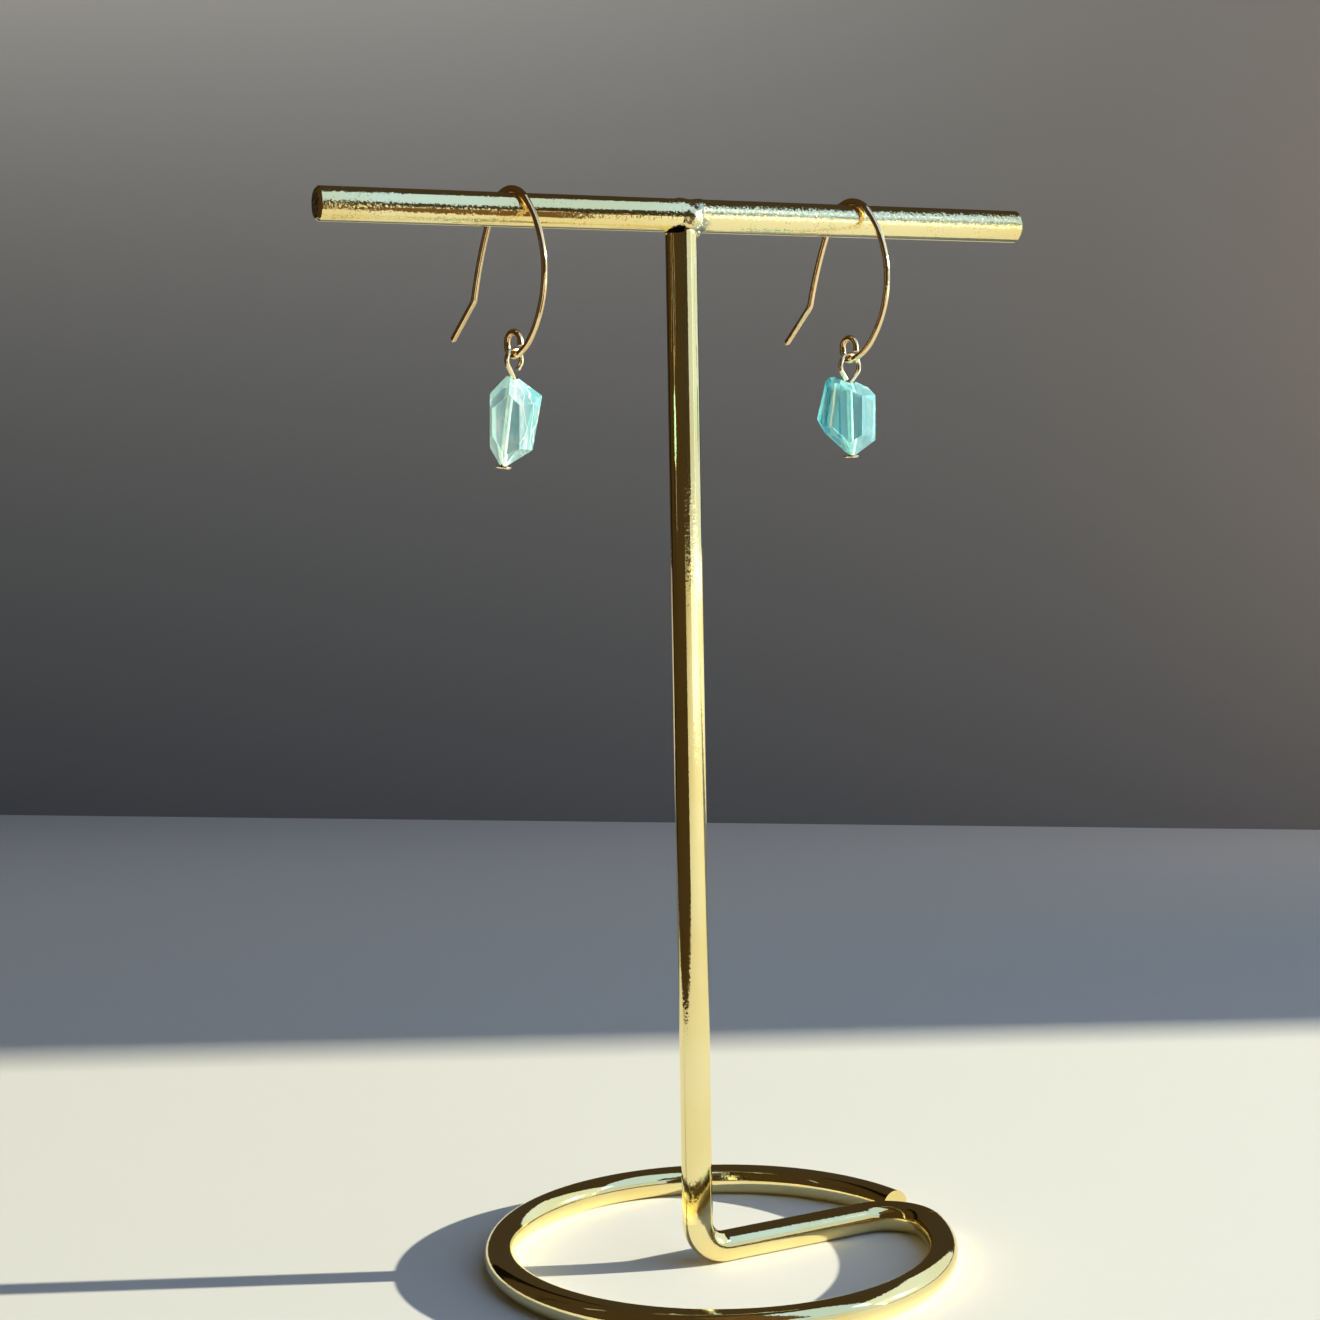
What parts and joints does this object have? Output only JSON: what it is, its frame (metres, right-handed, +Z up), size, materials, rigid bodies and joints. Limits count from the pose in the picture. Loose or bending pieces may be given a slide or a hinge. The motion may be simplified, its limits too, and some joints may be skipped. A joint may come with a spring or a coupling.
{
  "type": "pair of gemstone drop earrings on open hoop ear wires with a t-bar display stand",
  "caption": "Pair of drop earrings, cut stones on head pins under open-hoop ear wires, hung on a round-wire T-bar stand with a ring base; the drops swing.",
  "frame": {"origin": "on the table, under the middle of the bar along X and at the middle of the base's depth along Y", "axes": "+X along the bar to the right as seen from the front, +Y to the back, +Z up"},
  "size_m": [0.0966, 0.062, 0.1385],
  "materials": {
    "stand_metal": "polished plating, pitted and speckled, with a pale solder joint under the bar",
    "ear_wire_metal": "polished gold wire",
    "pin_metal": "polished pale gold wire",
    "left_gem": "polished facets, pale frosty aqua with white veils inside",
    "right_gem": "polished facets, clear saturated aqua"
  },
  "bodies": {
    "stand": {"display_stand": "stand_metal", "left_ear_wire": "ear_wire_metal", "right_ear_wire": "ear_wire_metal"},
    "left_drop": {"left_head_pin": "pin_metal", "left_stone": "left_gem"},
    "right_drop": {"right_head_pin": "pin_metal", "right_stone": "right_gem"}
  },
  "joints": [
    {"name": "left_drop_swing", "type": "hinge", "parent": "stand", "child": "left_drop", "pos_m": [-0.02386, -0.0008, 0.11775], "axis": [0.3746, -0.9272, 0], "range_deg": [-90, 90]},
    {"name": "right_drop_swing", "type": "hinge", "parent": "stand", "child": "right_drop", "pos_m": [0.02292, -0.00025, 0.11753], "axis": [0.3746, -0.9272, 0], "range_deg": [-90, 90]}
  ]
}
